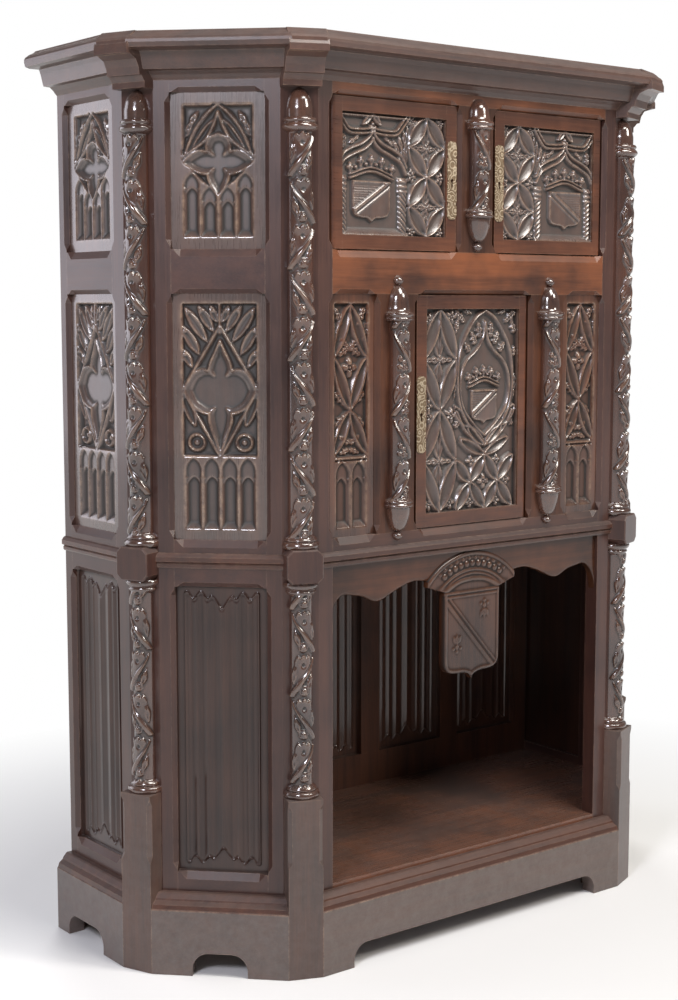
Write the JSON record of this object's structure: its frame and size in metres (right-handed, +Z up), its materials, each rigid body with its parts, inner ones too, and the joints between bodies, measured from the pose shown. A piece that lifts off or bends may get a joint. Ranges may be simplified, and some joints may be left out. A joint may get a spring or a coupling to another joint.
{
  "type": "court cupboard",
  "caption": "Gothic style court cupboard with canted ends: doors over a niche, turned corner columns, carved tracery and linenfold panels.",
  "frame": {"origin": "on the floor, in the middle of the footprint box", "axes": "+Z up, +X to the right of a person facing the doors, -Y towards that person"},
  "size_m": [1.3492, 0.5396, 1.642],
  "materials": {
    "oak_frame": "dark stained oak under a worn wax polish",
    "oak_carved": "dark stained carved oak, dull in the hollows",
    "oak_turned": "dark stained oak rubbed to a shine on the high parts",
    "oak_inside": "dull dark oak",
    "brass_plate": "dulled engraved brass",
    "wrought_iron": "dark iron"
  },
  "bodies": {
    "carcass": {"apron": "oak_frame", "apron_shield": "oak_turned", "back_frame": "oak_inside", "back_posts": "oak_inside", "cant_linenfold_panels": "oak_carved", "cant_middle_panels": "oak_carved", "cant_rails": "oak_frame", "cant_upper_panels": "oak_carved", "colonnette_left": "oak_turned", "colonnette_right": "oak_turned", "colonnette_upper": "oak_turned", "column_front_left": "oak_turned", "column_front_right": "oak_turned", "column_side_left": "oak_turned", "column_side_right": "oak_turned", "cornice_moulding": "oak_frame", "cupboard_floor": "oak_inside", "front_floor_rail": "oak_frame", "front_mid_rail": "oak_frame", "front_panels": "oak_carved", "front_top_rail": "oak_frame", "front_waist_rail": "oak_frame", "lower_muntins": "oak_frame", "niche_back_panels": "oak_inside", "niche_floor": "oak_inside", "pedestals": "oak_frame", "pivot_pins": "wrought_iron", "plinth_cants": "oak_frame", "plinth_front": "oak_frame", "plinth_moulding": "oak_frame", "plinth_sides": "oak_frame", "post_front_left": "oak_frame", "post_front_right": "oak_frame", "post_side_left": "oak_frame", "post_side_right": "oak_frame", "shelf": "oak_inside", "side_linenfold_panels": "oak_carved", "side_middle_panels": "oak_carved", "side_rails": "oak_frame", "side_upper_panels": "oak_carved", "top_board": "oak_frame", "upper_back_boards": "oak_inside", "upper_muntin": "oak_frame", "waist_blocks": "oak_turned", "waist_moulding": "oak_frame"},
    "door_left": {"door_left_frame": "oak_frame", "door_left_panel": "oak_carved", "escutcheon_left": "brass_plate", "lock_left": "wrought_iron"},
    "bolt_left": {"bolt_left": "wrought_iron"},
    "door_right": {"door_right_frame": "oak_frame", "door_right_panel": "oak_carved", "escutcheon_right": "brass_plate", "lock_right": "wrought_iron"},
    "bolt_right": {"bolt_right": "wrought_iron"},
    "door_centre": {"door_centre_frame": "oak_frame", "door_centre_panel": "oak_carved", "escutcheon_centre": "brass_plate", "lock_centre": "wrought_iron"},
    "bolt_centre": {"bolt_centre": "wrought_iron"}
  },
  "joints": [
    {"name": "door_left_hinge", "type": "hinge", "parent": "carcass", "child": "door_left", "pos_m": [-0.32355, -0.18671, 1.4145], "axis": [0, 0, -1], "range_deg": [0, 90]},
    {"name": "door_right_hinge", "type": "hinge", "parent": "carcass", "child": "door_right", "pos_m": [0.32355, -0.18671, 1.4145], "axis": [0, 0, 1], "range_deg": [0, 90]},
    {"name": "door_centre_hinge", "type": "hinge", "parent": "carcass", "child": "door_centre", "pos_m": [0.1295, -0.18671, 0.9935], "axis": [0, 0, 1], "range_deg": [0, 90]},
    {"name": "bolt_left_slide", "type": "slide", "parent": "door_left", "child": "bolt_left", "axis": [1, 0, 0], "range_m": [0, 0.009]},
    {"name": "bolt_right_slide", "type": "slide", "parent": "door_right", "child": "bolt_right", "axis": [-1, 0, 0], "range_m": [0, 0.009]},
    {"name": "bolt_centre_slide", "type": "slide", "parent": "door_centre", "child": "bolt_centre", "axis": [-1, 0, 0], "range_m": [0, 0.009]}
  ]
}
